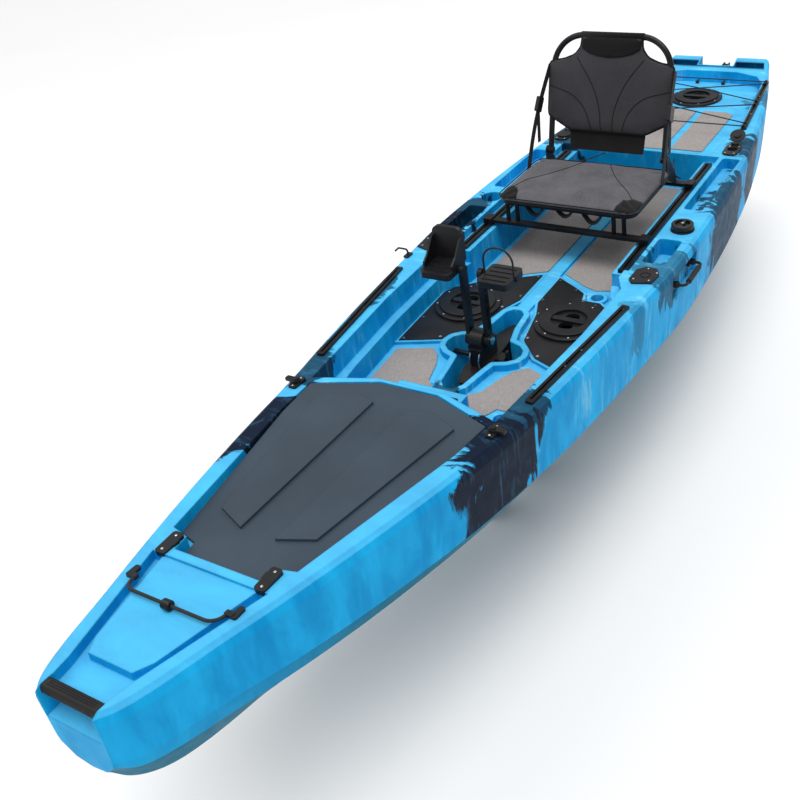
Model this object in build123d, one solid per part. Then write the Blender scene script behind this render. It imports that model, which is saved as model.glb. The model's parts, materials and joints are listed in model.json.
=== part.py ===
from build123d import *
import os
from math import atan2, degrees

os.makedirs("parts", exist_ok=True)

# A sit-on-top pedal boat. X is port, Y is aft, Z is up, in millimetres.
# Stations run from the stem aft on a 4100 mm hull, offsets on a 946 mm beam.

hull_length = 4100.0
hull_beam = 946.0
gunwale_height = 310.0
bow_rise = 90.0
stern_rise = 42.0
wall = 5.0
floor_height = 165.0
ledge_height = 282.0
rear_deck_height = 268.0
pad_thickness = 4.0
turning_gap = 0.1
sliding_gap = 0.4
lid_gap = 4.0
lid_thickness = 9.0
plate_thickness = 4.0
plinth_height = 9.0
deck_hatch_outer_radius = 115.5
deck_hatch_bore_radius = 84.0
scupper_radius = 22.0
crank_length = 238.0
crank_axle_radius = 8.0
spindle_radius = 6.0
fin_length = 400.0
fin_chord = 105.0
mast_radius = 5.0
seat_width = 524.0
seat_depth = 376.0
seat_height = 405.0
back_width = 478.0
seat_tube_radius = 9.0
back_tube_radius = 11.0
back_height = 430.0
back_lean = 14.0
rail_width = 28.0
rail_height = 12.0
rudder_pin_radius = 5.0
rod_holder_radius = 22.0
cup_holder_radius = 42.0
top = 460.0

parts = {}


def sy(station):
    """Y of a station counted aft from the stem."""
    return (station - 2100.0) * hull_length / 4100.0


def sx(offset):
    """X of an offset from the centre line."""
    return offset * hull_beam / 946.0


def block(s0, s1, x0, x1, z0, z1):
    """Box between two stations, two offsets and two heights."""
    size = (sx(x1) - sx(x0), sy(s1) - sy(s0), z1 - z0)
    centre = ((sx(x0) + sx(x1)) / 2, (sy(s0) + sy(s1)) / 2, (z0 + z1) / 2)
    return Pos(*centre) * Box(*size)


def rounded_block(s0, s1, x0, x1, z0, z1, radius):
    """Box with its four upright edges rounded."""
    body = block(s0, s1, x0, x1, z0, z1)
    return fillet(body.edges().filter_by(Axis.Z), radius)


def outline(points, grow=0.0):
    """Flat face from (station, offset) points, grown by a margin."""
    face = make_face(Polyline(*[(sx(x), sy(s)) for s, x in points], close=True))
    if grow:
        face = offset(face, amount=grow, kind=Kind.INTERSECTION)
    return face


def slab(points, z0, z1, grow=0.0):
    """Upright prism over an outline."""
    return Pos(0, 0, z0) * extrude(outline(points, grow), amount=z1 - z0)


def both_sides(points):
    """Closes a half outline, given forward to aft, with its mirror image."""
    back = [(s, -x) for s, x in reversed(points) if abs(x) > 0.01]
    return list(points) + back


def disc(s, x, radius, z0, z1):
    """Upright cylinder on a station and an offset."""
    body = Cylinder(radius, z1 - z0, align=(Align.CENTER, Align.CENTER, Align.MIN))
    return Pos(sx(x), sy(s), z0) * body


def rod_x(s, z, radius, x0, x1):
    """Cylinder across the boat."""
    body = Rot(0, 90, 0) * Cylinder(radius, sx(x1) - sx(x0))
    return Pos((sx(x0) + sx(x1)) / 2, sy(s), z) * body


def rod_y(x, z, radius, s0, s1):
    """Cylinder along the boat."""
    body = Rot(90, 0, 0) * Cylinder(radius, sy(s1) - sy(s0))
    return Pos(sx(x), (sy(s0) + sy(s1)) / 2, z) * body


def tube(points, radius, bends):
    """Round bar along a path of (station, offset, height) corners."""
    corners = [(sx(x), sy(s), z) for s, x, z in points]
    if bends:
        path = FilletPolyline(*corners, radius=bends)
    else:
        path = Polyline(*corners)
    profile = Plane(origin=path @ 0, z_dir=path % 0) * Circle(radius)
    return sweep(profile, path=path)


def screw_heads(places, z, radius=5.0, height=1.6):
    """Low domed screw heads standing on a face."""
    heads = [disc(s, x, radius, z, z + height) for s, x in places]
    return Compound(children=heads)


groups = {}


def save(name, shape):
    parts[name] = shape
    export_step(shape, "parts/" + name + ".step")


def gather(name, shape):
    """Adds one piece to a node that holds a matched set of pieces."""
    groups.setdefault(name, []).append(shape)
    save(name, Compound(children=[Compound(piece.wrapped) for piece in groups[name]]))


# ---------------------------------------------------------------- hull form

flat_from = 1150.0
flat_to = 3895.0
sheer_slope = bow_rise / (sy(flat_from) - sy(0))
foredeck_tilt = -degrees(atan2(bow_rise, sy(flat_from) - sy(0)))


def sheer(s):
    """Height of the gunwale at a station."""
    fore = max(0.0, sy(flat_from) - sy(s)) * sheer_slope
    t = min(1.0, max(0.0, (s - flat_to) / (4100.0 - flat_to)))
    return gunwale_height + fore + stern_rise * t * t * (3 - 2 * t)


# Station, gunwale half-breadth, chine half-breadth and height, bottom
# half-breadth and its height, keel height.
offsets = [
    (0, 86, 80, 262, 44, 214, 206),
    (40, 113, 106, 247, 66, 166, 150),
    (110, 138, 131, 238, 90, 130, 112),
    (240, 171, 165, 219, 108, 98, 80),
    (430, 222, 215, 183, 122, 66, 48),
    (700, 285, 277, 143, 158, 38, 20),
    (1050, 352, 342, 101, 215, 20, 5),
    (1450, 410, 397, 74, 270, 13, 2),
    (1850, 448, 433, 61, 310, 10, 2),
    (2250, 473, 458, 57, 330, 10, 2),
    (2650, 464, 448, 60, 325, 12, 2),
    (3050, 436, 422, 75, 300, 19, 7),
    (3450, 383, 371, 96, 258, 42, 30),
    (3800, 313, 302, 116, 205, 66, 55),
    (4100, 238, 229, 136, 150, 90, 80),
]


def slope_at(i, column):
    """Slope of one column of the offsets, kept free of overshoot."""
    last = len(offsets) - 1
    before = offsets[max(i, 1)]
    prior = offsets[max(i, 1) - 1]
    after = offsets[min(i, last - 1) + 1]
    here = offsets[min(i, last - 1)]
    a = (before[column] - prior[column]) / (before[0] - prior[0])
    b = (after[column] - here[column]) / (after[0] - here[0])
    if a * b <= 0:
        return 0.0
    return 2 * a * b / (a + b)


def faired(s, column):
    """One column of the offsets at any station."""
    i = 0
    while i < len(offsets) - 2 and s > offsets[i + 1][0]:
        i += 1
    low, high = offsets[i], offsets[i + 1]
    span = high[0] - low[0]
    t = (s - low[0]) / span
    value = (2 * t**3 - 3 * t**2 + 1) * low[column] + (3 * t**2 - 2 * t**3) * high[column]
    value += (t**3 - 2 * t**2 + t) * span * slope_at(i, column)
    value += (t**3 - t**2) * span * slope_at(i + 1, column)
    return value


section_stations = [0, 18, 42, 75, 120, 180, 260, 360] + [480 + 145 * n for n in range(25)] + [4100]


def half_section(s, inset, station):
    """Points of one side of a hull section, keel to gunwale."""
    gunwale, chine, chine_z, bottom, bottom_z, keel = [faired(s, c) for c in range(1, 7)]
    h = sheer(station)
    return [
        (0, keel + inset),
        (sx(bottom) - inset, bottom_z + inset),
        (sx(chine) * 0.95 - inset, chine_z - 0.36 * (chine_z - bottom_z) + inset),
        (sx(chine) - inset, chine_z + 0.4 * inset),
        (sx(gunwale) - inset, h - 30),
        (sx(gunwale) - 6 - inset, h - 9),
        (sx(gunwale) - 20 - inset, h + 1),
    ]


def hull_form(inset):
    """Smooth body through the sections, before the decks are cut."""
    sections = []
    for s in section_stations:
        station = s
        if s == 0:
            station = inset
        if s == section_stations[-1]:
            station = s - inset
        side = half_section(s, inset, station)
        ring = side + [(-x, z) for x, z in reversed(side[1:])]
        line = Polyline(*[(x, sy(station), z) for x, z in ring], close=True)
        sections.append(make_face(line))
    return loft(sections)


def above_sheer(drop):
    """Everything above the gunwale, lowered by a drop."""
    stations = [-100, flat_from, flat_to, 3920, 3960, 4000, 4040, 4080, 4200]
    line = [(sy(s), sheer(s) - drop) for s in stations]
    line += [(sy(4200), 900), (sy(-100), 900)]
    side = Plane.YZ * make_face(Polyline(*line, close=True))
    return extrude(side, amount=800, both=True)


def on_foredeck(shape):
    """Places a shape drawn flat at z = 0 on the sloping foredeck."""
    spin = Pos(0, sy(0), sheer(0)) * Rot(foredeck_tilt, 0, 0) * Pos(0, -sy(0), 0)
    return spin * shape


lid_hinge_station = 441.0
lid_hinge_height = 338.0
lid_rear_height = 309.0
lid_fall = lid_hinge_height - lid_rear_height
lid_tilt = -degrees(atan2(lid_fall, sy(1222) - sy(lid_hinge_station)))


def on_lid(shape):
    """Places a shape drawn flat at z = 0 on the plane of the lid's top."""
    y = sy(lid_hinge_station)
    return Pos(0, y, lid_hinge_height) * Rot(lid_tilt, 0, 0) * Pos(0, -y, 0) * shape


# ---------------------------------------------------------------- outlines

lid_outline = both_sides(
    [(441, 0), (441, 121), (484, 126), (498, 180), (1001, 274), (1148, 288), (1222, 95)]
)
bow_floor = both_sides([(44, 0), (44, 77), (90, 84), (405, 168), (405, 0.0)])
bow_block = both_sides([(118, 0), (118, 62), (158, 84), (414, 140), (414, 0.0)])
lid_recess = both_sides(
    [(431, 0), (431, 121), (474, 126), (488, 180), (1001, 274), (1148, 288), (1222, 95)]
)
front_upper = both_sides(
    [(1238, 0), (1238, 112), (1174, 302), (1350, 318), (1650, 345), (1930, 352)]
    + [(1996, 318), (2060, 318), (2060, 0.0)]
)
front_lower = both_sides(
    [(1244, 0), (1244, 108), (1196, 262), (1350, 288), (1650, 314), (1936, 322)]
    + [(1990, 290), (2050, 268), (3010, 268), (3010, 0.0)]
)
rear_upper = both_sides([(2046, 0), (2046, 333), (3010, 333), (3010, 0.0)])
rear_deck = both_sides(
    [(3024, 0), (3024, 296), (3160, 296), (3215, 320), (3305, 322), (3883, 262)]
    + [(3945, 222), (3975, 120), (3975, 0.0)]
)
deck_plate = [
    (1608, 300),
    (1934, 314),
    (1975, 296),
    (2030, 234),
    (2030, 168),
    (2075, 156),
    (2101, 118),
    (2150, 34),
    (1970, 34),
    (1900, 62),
    (1742, 94),
    (1661, 170),
]
front_pad = [
    (1352, 34),
    (1394, 34),
    (1454, 92),
    (1540, 116),
    (1584, 138),
    (1616, 172),
    (1572, 284),
    (1392, 272),
    (1392, 178),
    (1352, 160),
]
aft_pad = [(2196, 34), (2985, 34), (2985, 246), (2140, 246), (2118, 180), (2138, 130)]
well_points = [
    (1412, 14),
    (1440, 36),
    (1530, 50),
    (1580, 60),
    (1598, 104),
    (1618, 126),
    (1645, 133),
    (1672, 126),
    (1692, 104),
    (1706, 62),
    (1780, 42),
    (1868, 32),
    (1890, 14),
]
well_corner = 13.0


def well_face(grow):
    """Clover-shaped drive well, seen from above."""
    face = outline(both_sides(well_points))
    face = fillet(face.vertices(), well_corner)
    if grow:
        face = offset(face, amount=grow, kind=Kind.INTERSECTION)
    return face


def well(grow, z0, z1):
    return Pos(0, 0, z0) * extrude(well_face(grow), amount=z1 - z0)


scuppers = [(1346, 214), (2067, 209), (3085, 212)]
deck_hatches = [(1882, 189), (1882, -189)]
rear_hatch_station = 3748.0
tray_boxes = [
    (2107, 2354, -424, -350, 250),
    (2535, 2920, -420, -350, 268),
    (2115, 2290, 350, 430, 250),
    (2530, 3003, 350, 418, 268),
]
rod_holder_place = (3083, 362)
rod_holder_lean = 14.0
well_rim = 20.0
rim_height = 188.0


def rod_bore(side, radius, depth, rise=0.0):
    """Slanting cylinder of a flush rod holder, foot trailing forward."""
    s, x = rod_holder_place
    body = Cylinder(radius, depth + rise, align=(Align.CENTER, Align.CENTER, Align.MAX))
    body = Pos(0, 0, rise) * body
    return Pos(sx(x * side), sy(s), gunwale_height) * Rot(-rod_holder_lean, 0, 0) * body


# ---------------------------------------------------------------- hull

def deck_cuts(g):
    """All recesses in the deck, each grown by a margin g."""
    low = floor_height - g
    cuts = rounded_block(-60, 46, -78 - g, 78 + g, 322 - g, top, 5)
    floor = Pos(0, 0, -26 - g) * extrude(outline(bow_floor, g), amount=90)
    raised = Pos(0, 0, -60) * extrude(outline(bow_block, -g), amount=54 - g)
    cuts += on_foredeck(floor - raised)
    seat = Pos(0, 0, -lid_thickness - g) * extrude(
        outline(lid_recess, lid_gap + g), amount=130
    )
    cuts += on_lid(seat)
    foot = slab(front_lower, low, top, g)
    foot -= slab(both_sides([(1243, 0), (1243, 115), (1342, 115), (1342, 0.0)]), 0, 236 - g, -g)
    foot -= slab(both_sides([(1300, 0), (1300, 25), (1440, 25), (1440, 0.0)]), 0, 173 - g, -g)
    foot -= slab(both_sides([(1885, 0), (1885, 25), (3010, 25), (3010, 0.0)]), 0, 173 - g, -g)
    foot -= well(well_rim - g, 0, rim_height - g)
    for side in (1, -1):
        plate = [(s, x * side) for s, x in deck_plate]
        foot -= slab(plate, 0, floor_height + plinth_height - g, 10 - g)
    for s, x in scuppers[:2]:
        for side in (1, -1):
            foot -= disc(s, x * side, 36 - g, 0, floor_height + 9 - g)
    cuts += foot
    cuts += slab(front_upper, 236 - g, top, g)
    cuts += slab(rear_upper, ledge_height - g, top, g)
    tail = slab(rear_deck, rear_deck_height - g, top, g)
    for side in (1, -1):
        tail -= disc(scuppers[2][0], scuppers[2][1] * side, 36 - g, 0, rear_deck_height + 7 - g)
    cuts += tail
    for s0, s1, x0, x1, z in tray_boxes:
        cuts += rounded_block(s0 - g, s1 + g, x0 - g, x1 + g, z - g, top, 14 + g)
    cuts += disc(2442, -377, cup_holder_radius + g, 215 - g, top)
    cuts += block(4030 - g, 4300, -84 - g, 84 + g, 205 - g, top)
    return cuts


def through_cuts(g):
    """The drive well and the scuppers, which run right through the hull."""
    cuts = well(g, -80, top)
    for s, x in scuppers:
        for side in (1, -1):
            cuts += disc(s, x * side, scupper_radius + g, -80, top)
    for side in (1, -1):
        near, far = sorted((side * (449 - g), side * 560))
        cuts += rounded_block(2092 - g, 2312 + g, near, far, 196 - g, 276 + g, 5)
    return cuts


keel_flat = block(1950, 2250, -70, 70, 0, 5)
outside = (hull_form(0.0) + keel_flat) - above_sheer(0.0) - deck_cuts(0.0) - through_cuts(0.0)
void = hull_form(wall) - above_sheer(wall) - deck_cuts(wall) - through_cuts(wall)
hull = outside - void
hull -= on_lid(Pos(0, 0, -60) * extrude(outline(lid_outline, -42), amount=120))
for hs, hx in deck_hatches:
    hull -= disc(hs, hx, deck_hatch_bore_radius, 120, top)
hull -= disc(rear_hatch_station, 0, deck_hatch_bore_radius, 220, top)
for side in (1, -1):
    hull -= rod_bore(side, rod_holder_radius, 60, 20)
    hull -= rod_x(1672, 132, 8, *sorted((side * 100, side * 140)))
    hull -= rod_y(side * 62, 276, 4, 3960, 4040)
for side in (1, -1):
    hull -= rod_x(lid_hinge_station, lid_hinge_height, 10, *sorted((side * 86, side * 127.4)))
hull = hull.solids().sort_by(SortBy.VOLUME)[-1]
save("hull", hull)


# ---------------------------------------------------------------- bow

grip = fillet(block(11, 41, -78, 78, -26, -1).edges().filter_by(Axis.X), 9)
for z in (-18, -13.5, -9):
    grip -= block(9, 12.2, -66, 66, z - 1, z + 1)
for s in (21, 26, 31):
    grip -= block(s - 1, s + 1, -66, 66, -2.2, 0)
grip = on_foredeck(grip)
save("bow_handle", grip)

bow_cord = tube(
    [(316, -133, sheer(316) + 4), (281, -128, sheer(281) + 7.5), (281, 128, sheer(281) + 7.5)]
    + [(316, 133, sheer(316) + 4)],
    4.0,
    [30.0, 30.0],
)
bead = fillet(rod_x(281, sheer(281) + 7.5, 12, -12, 12).edges(), 4)
bead -= rod_x(281, sheer(281) + 7.5, 4.0, -20, 20)
save("bow_cord_bead", bead)
eyes = []
for side in (1, -1):
    eye = on_foredeck(rounded_block(312, 348, *sorted((side * 143, side * 159)), 0, 7, 6))
    eye += on_foredeck(rounded_block(312, 326, *sorted((side * 128, side * 150)), 0, 9, 3))
    eyes.append(eye - bow_cord)
save("bow_pad_eyes", Compound(children=eyes))
save("bow_cord", bow_cord)

lid = Pos(0, 0, -lid_thickness) * extrude(outline(lid_outline), amount=lid_thickness)
lid = fillet(lid.faces().sort_by(Axis.Z)[-1].edges(), 3)
panel = [(564, 52), (1124, 52), (1146, 115), (1096, 222), (602, 144)]
for side in (1, -1):
    lid += extrude(outline([(s, x * side) for s, x in panel]), amount=8)
skirt = Pos(0, 0, -30) * extrude(outline(lid_outline, -48) - outline(lid_outline, -54), amount=22)
lid += skirt
lid = on_lid(lid)
for side in (1, -1):
    low, high = sorted((side * 88, side * 119))
    lid += rod_x(lid_hinge_station, lid_hinge_height, 7, low, high)
    lid -= rod_x(lid_hinge_station, lid_hinge_height, 4 + turning_gap, *sorted((side * 95, side * 127)))
save("bow_hatch_lid", lid)

for side, name in ((1, "port"), (-1, "starboard")):
    foot_x = sorted((side * 130, side * 161))
    foot_z = sheer(441) - 22
    base = rounded_block(400, 470, *foot_x, sheer(470) - 4, sheer(441) + 8, 8)
    pin = rod_x(lid_hinge_station, lid_hinge_height, 4, *sorted((side * 97, side * 140)))
    cheek = rounded_block(431, 451, *sorted((side * 127.6, side * 142)), 328, sheer(441) + 8, 3)
    hinge = base + cheek + pin
    hinge -= hull
    pieces = hinge.solids().sort_by(SortBy.VOLUME)
    gather("bow_hinges", pieces[-1])

for side, name in ((1, "port"), (-1, "starboard")):
    z = gunwale_height + 4
    plate = rounded_block(1100, 1156, *sorted((side * 308, side * 334)), z - 5, z + 7, 6) - hull
    post = disc(1128, side * 321, 5, z + 7, z + 16)
    cap = disc(1128, side * 321, 8, z + 16, z + 19)
    gather("bow_latch_bases", plate + post + cap)
    tongue = rounded_block(1119, 1137, *sorted((side * 311, side * 358)), z + 7.4, z + 15.6, 5)
    tongue += disc(1128, side * 321, 12, z + 7.4, z + 15.6)
    tongue -= disc(1128, side * 321, 5 + turning_gap, z, z + 30)
    save("bow_latch_" + name, tongue)


# ---------------------------------------------------------------- tracks and gunwale fittings

def track(s0, x0, s1, x1, z, width):
    """Aluminium accessory track with an undercut slot, between two points."""
    dx = sx(x1) - sx(x0)
    dy = sy(s1) - sy(s0)
    length = (dx * dx + dy * dy) ** 0.5
    bar = Pos(0, 0, 4.5) * Box(length, width, 9)
    bar -= Pos(0, 0, 7) * Box(length - 24, 7, 4)
    bar -= Pos(0, 0, 4) * Box(length - 24, 13, 4)
    bar = fillet(bar.edges().filter_by(Axis.Z).group_by(Axis.X)[0], 4)
    place = Pos((sx(x0) + sx(x1)) / 2, (sy(s0) + sy(s1)) / 2, z)
    return place * Rot(0, 0, degrees(atan2(dy, dx))) * bar


gather("gunwale_tracks", track(1276, 349, 1826, 410, gunwale_height, 24))
gather("gunwale_tracks", track(1276, -349, 1826, -410, gunwale_height, 24))
save("console_track", track(1296, -104, 1296, 104, 236, 22))

for side, name in ((1, "port"), (-1, "starboard")):
    z = gunwale_height
    plate = [(1966, 372), (1986, 356), (2052, 358), (2078, 384), (2074, 420), (2040, 438), (1984, 432)]
    body = slab([(s, x * side) for s, x in plate], z, z + 7)
    body = fillet(body.edges().filter_by(Axis.Z), 8)
    body -= disc(2022, side * 398, 17, z + 4, z + 10)
    body += disc(2022, side * 398, 13, z + 2, z + 7)
    gather("mount_plates", body)

knob_base = disc(2373, 401, 41, gunwale_height, gunwale_height + 5)
knob_base += disc(2373, 401, 6, gunwale_height + 5, gunwale_height + 14)
save("steering_base", knob_base)
knob_z = gunwale_height + 5 + turning_gap
knob = fillet(disc(2373, 401, 38, knob_z, knob_z + 20).edges(), 4)
knob -= disc(2373, 401, 26, knob_z + 11, knob_z + 30)
knob += rounded_block(2373 - 27, 2373 + 27, 395, 407, knob_z + 8, knob_z + 19, 3)
knob += disc(2373, 401, 9, knob_z + 8, knob_z + 21)
knob -= disc(2373, 401, 6 + turning_gap, knob_z - 1, knob_z + 9.6)
save("steering_knob", knob)

for side, name in ((1, "port"), (-1, "starboard")):
    s, x = rod_holder_place
    z = gunwale_height
    flange = slab(
        [(3030, x * side - 30), (3030, x * side + 30), (3136, x * side + 30), (3136, x * side - 30)],
        z,
        z + 7,
    )
    flange = fillet(flange.edges().filter_by(Axis.Z), 24)
    barrel = rod_bore(side, rod_holder_radius, 190, 12)
    barrel -= Pos(sx(x * side), sy(s), z + 53) * Box(100, 100, 100)
    holder = flange + barrel
    holder -= rod_bore(side, rod_holder_radius - 2.5, 184, 40)
    holder += block(3118, 3128, *sorted((side * (abs(x) - 14), side * (abs(x) - 8))), z + 7, z + 17)
    holder += block(3118, 3128, *sorted((side * (abs(x) + 8), side * (abs(x) + 14))), z + 7, z + 17)
    holder += rod_x(3123, z + 13, 2, *sorted((side * (abs(x) - 14), side * (abs(x) + 14))))
    gather("rod_holders", holder)
    cap = disc(s, x * side, 30, z + 7.4, z + 12)
    cap += block(s, 3123, *sorted((side * (abs(x) - 7.4), side * (abs(x) + 7.4))), z + 8.4, z + 12)
    cap += rod_x(3123, z + 13, 4.6, *sorted((side * (abs(x) - 7.4), side * (abs(x) + 7.4))))
    cap -= rod_x(3123, z + 13, 2 + turning_gap, *sorted((side * (abs(x) - 9), side * (abs(x) + 9))))
    plug = disc(s, x * side, 14, z + 1, z + 8)
    cap += plug
    if side > 0:
        spot = Pos(sx(x * side), sy(3123), z + 13)
        cap = spot * Rot(-150, 0, 0) * Pos(-sx(x * side), -sy(3123), -z - 13) * cap
    save("rod_holder_cap_" + name, cap)

for side, name in ((1, "port"), (-1, "starboard")):
    anchors = []
    for s in (2120, 2284):
        anchor = block(s - 9, s + 9, *sorted((side * 449, side * 459.5)), 226, 258)
        anchor += rod_y(side * 468, 242, 4, s - 9, s + 9)
        anchor += block(s - 9, s - 6, *sorted((side * 449, side * 474)), 234, 250)
        anchor += block(s + 6, s + 9, *sorted((side * 449, side * 474)), 234, 250)
        anchors.append(anchor)
    gather("side_handle_anchors", Compound(children=anchors))
    reach = 24
    grip = tube(
        [(2120, side * 474, 242), (2120, side * (474 + reach), 242), (2284, side * (474 + reach), 242)]
        + [(2284, side * 474, 242)],
        5.0,
        [16.0, 16.0],
    )
    grip += rod_y(side * (474 + reach), 242, 9, 2150, 2254)
    for s in (2120, 2284):
        grip += block(s - 5.4, s + 5.4, *sorted((side * 463.5, side * 478)), 236, 248)
        grip -= rod_y(side * 468, 242, 4 + turning_gap, s - 9, s + 9)
    save("side_handle_" + name, grip)

hook = rounded_block(1900, 1936, -444, -424, gunwale_height, gunwale_height + 6, 4)
hook += tube(
    [(1918, -434, gunwale_height + 3), (1918, -434, gunwale_height + 26), (1918, -470, gunwale_height + 26)]
    + [(1918, -486, gunwale_height + 12)],
    3.5,
    [9.0, 9.0],
)
save("paddle_hook", hook)


# ---------------------------------------------------------------- floor pads, plates and hatches

for side, name in ((1, "port"), (-1, "starboard")):
    z = floor_height
    gather("front_pads", slab([(s, x * side) for s, x in front_pad], z, z + pad_thickness))
    gather("aft_pads", slab([(s, x * side) for s, x in aft_pad], z, z + pad_thickness))
    plate_z = floor_height + plinth_height
    shape = slab([(s, x * side) for s, x in deck_plate], plate_z, plate_z + plate_thickness)
    shape -= disc(1882, side * 189, deck_hatch_bore_radius, 100, 300)
    gather("deck_plates", shape)
    spots = [(1622, 290), (1760, 296), (1925, 302), (2014, 226), (2026, 176), (2088, 122)]
    spots += [(2134, 42), (1992, 42), (1905, 70), (1756, 100), (1670, 176)]
    heads = screw_heads([(s, x * side) for s, x in spots], plate_z + plate_thickness)
    gather("plate_screws", heads)
    z = rear_deck_height
    shape = slab(
        [(3140, side * 88), (3590, side * 88), (3590, side * 190), (3560, side * 222), (3140, side * 222)],
        z,
        z + pad_thickness,
    )
    gather("rear_pads", shape)
gather("rear_pads", block(3130, 3590, -55, 55, rear_deck_height, rear_deck_height + pad_thickness))


def hatch_ring(s, x, z):
    """Screwed ring of a round hatch, with its collar down the deck hole."""
    ring = disc(s, x, deck_hatch_outer_radius, z, z + 10)
    ring = fillet(ring.faces().sort_by(Axis.Z)[-1].edges(), 3)
    ring += disc(s, x, deck_hatch_bore_radius, z - 12, z)
    ring -= disc(s, x, deck_hatch_bore_radius - 4, z - 20, z + 20)
    for number in range(8):
        head = Pos(sx(x), sy(s), z + 9) * Rot(0, 0, 22.5 + 45 * number) * Pos(106, 0, 0)
        ring += head * Cylinder(4, 3)
    return ring


def hatch_lid(s, x, z):
    """Quarter-turn lid with a dished top and a grip bar across it."""
    radius = deck_hatch_bore_radius - 4 - turning_gap
    lid = disc(s, x, radius, z - 8, z + 10)
    lid += fillet(disc(s, x, 97, z + 10 + turning_gap, z + 17).faces().sort_by(Axis.Z)[-1].edges(), 3)
    lid += disc(s, x, radius, z + 9, z + 11)
    lid -= disc(s, x, 60, z + 6, z + 30)
    for turn in (90, -90):
        hollow = Pos(sx(x), sy(s), z - 2) * Rot(0, 0, turn) * Pos(28, 0, 0)
        lid -= hollow * Cylinder(24, 22)
    bar = rounded_block(s - 11, s + 11, x - 58, x + 58, z - 4, z + 15, 9)
    return lid + bar


hatch_z = floor_height + plinth_height + plate_thickness
for side, name in ((1, "port"), (-1, "starboard")):
    gather("deck_hatch_rings", hatch_ring(1882, side * 189, hatch_z))
    save("deck_hatch_lid_" + name, hatch_lid(1882, side * 189, hatch_z))
save("rear_hatch_ring", hatch_ring(rear_hatch_station, 0, rear_deck_height))
save("rear_hatch_lid", hatch_lid(rear_hatch_station, 0, rear_deck_height))


# ---------------------------------------------------------------- fin drive

crank_station = 1630.0
crank_height = 232.0
drum_height = -44.0
fin_stations = (1562.0, 1790.0)
drum_half = 20.0

lens = [(1498, 0), (1528, 27), (1640, 36), (1752, 31), (1822, 18)]
ring = lens + [(1856, 0)] + [(s, -x) for s, x in reversed(lens[1:])]
lens_face = make_face(Spline(*[(sx(x), sy(s)) for s, x in ring], periodic=True))
housing = Pos(0, 0, -18) * extrude(lens_face, amount=168)
housing += rounded_block(1586, 1700, -22, 22, 150, 214, 10)
tower = Pos(0, sy(crank_station), crank_height) * Rot(0, 90, 0) * Cylinder(34, sx(44))
housing += tower
for s in fin_stations:
    for end in (-1, 1):
        near = s + end * (drum_half + turning_gap + 0.2)
        far = s + end * (drum_half + 9)
        housing += block(*sorted((near, far)), -9, 9, drum_height - 9, -17)
        housing += rod_y(0, drum_height, 9, *sorted((near, far)))
    housing += rod_y(0, drum_height, 5, s - drum_half - 4, s + drum_half + 4)
for side in (1, -1):
    housing += block(1650, 1694, *sorted((side * 20, side * 62)), 116, 148)
housing -= rod_x(crank_station, crank_height, crank_axle_radius, -40, 40)
housing -= rod_x(1672, 132, 8, -90, -50)
housing -= rod_x(1672, 132, 8, 50, 90)
save("drive_housing", housing)
axle = rod_x(crank_station, crank_height, crank_axle_radius, -42, 42)
axle += rod_x(crank_station, crank_height, 13, 42, 46) + rod_x(crank_station, crank_height, 13, -46, -42)
save("crank_axle", axle)
for side, name in ((1, "port"), (-1, "starboard")):
    lock = rod_x(1672, 132, 8, *sorted((side * 50, side * 134)))
    lock += rounded_block(1664, 1680, *sorted((side * 64, side * 72)), 132, 172, 3)
    gather("drive_locks", lock)

crank_top = crank_height + crank_length
for side, name in ((1, "port"), (-1, "starboard")):
    inner, outer = side * 23, side * 41
    arm = rod_x(crank_station, crank_height, 24, *sorted((inner, outer)))
    width = sorted((side * 25, side * 39))
    arm += block(crank_station - 15, crank_station + 15, *width, crank_height, crank_top)
    arm += rod_x(crank_station, crank_top, 17, *sorted((side * 25, side * 39)))
    for z in range(4):
        rise = crank_height + 44 + 44 * z
        face = sorted((side * 36, side * 60))
        arm -= rounded_block(crank_station - 8, crank_station + 8, *face, rise, rise + 32, 2)
    arm -= rod_x(crank_station, crank_height, crank_axle_radius + turning_gap, -60, 60)
    arm += rod_x(crank_station, crank_top, spindle_radius, *sorted((side * 39, side * 152)))
    arm += rod_x(crank_station, crank_top, 9, *sorted((side * 152, side * 156)))
    save("crank_" + name, arm)
    tread = sorted((side * 46, side * 150))
    sole = crank_top - 11
    pedal = rounded_block(crank_station - 62, crank_station + 52, *tread, sole, crank_top + 10, 14)
    for row in range(4):
        edge = crank_station - 48 + 25 * row
        pedal -= block(edge, edge + 8, *sorted((side * 58, side * 138)), crank_top + 7, crank_top + 12)
    if side < 0:
        cup = block(crank_station + 38, crank_station + 52, -150, -46, crank_top + 9, crank_top + 118)
        cup = fillet(cup.edges().filter_by(Axis.Y).group_by(Axis.Z)[-1], 24)
        flank = [(-34, 9), (46, 9), (46, 92), (26, 86), (-8, 44), (-34, 26)]
        flank = [(sy(crank_station + s), crank_top + z) for s, z in flank]
        wing = extrude(Plane.YZ * make_face(Polyline(*flank, close=True)), amount=6)
        cup += Pos(sx(-150), 0, 0) * wing
        cup += Pos(sx(-52), 0, 0) * wing
        pedal += cup
    bore = sorted((side * 40, side * 151.6))
    pedal -= rod_x(crank_station, crank_top, spindle_radius + turning_gap, *bore)
    save("pedal_" + name, pedal)
    strap_s = crank_station - 8
    hoop = tube(
        [(strap_s, side * 49, crank_top + 10), (strap_s, side * 49, crank_top + 98)]
        + [(strap_s, side * 147, crank_top + 98), (strap_s, side * 147, crank_top + 10)],
        3.0,
        [46.0, 46.0],
    )
    if side > 0:
        save("pedal_strap_" + name, hoop)

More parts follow.
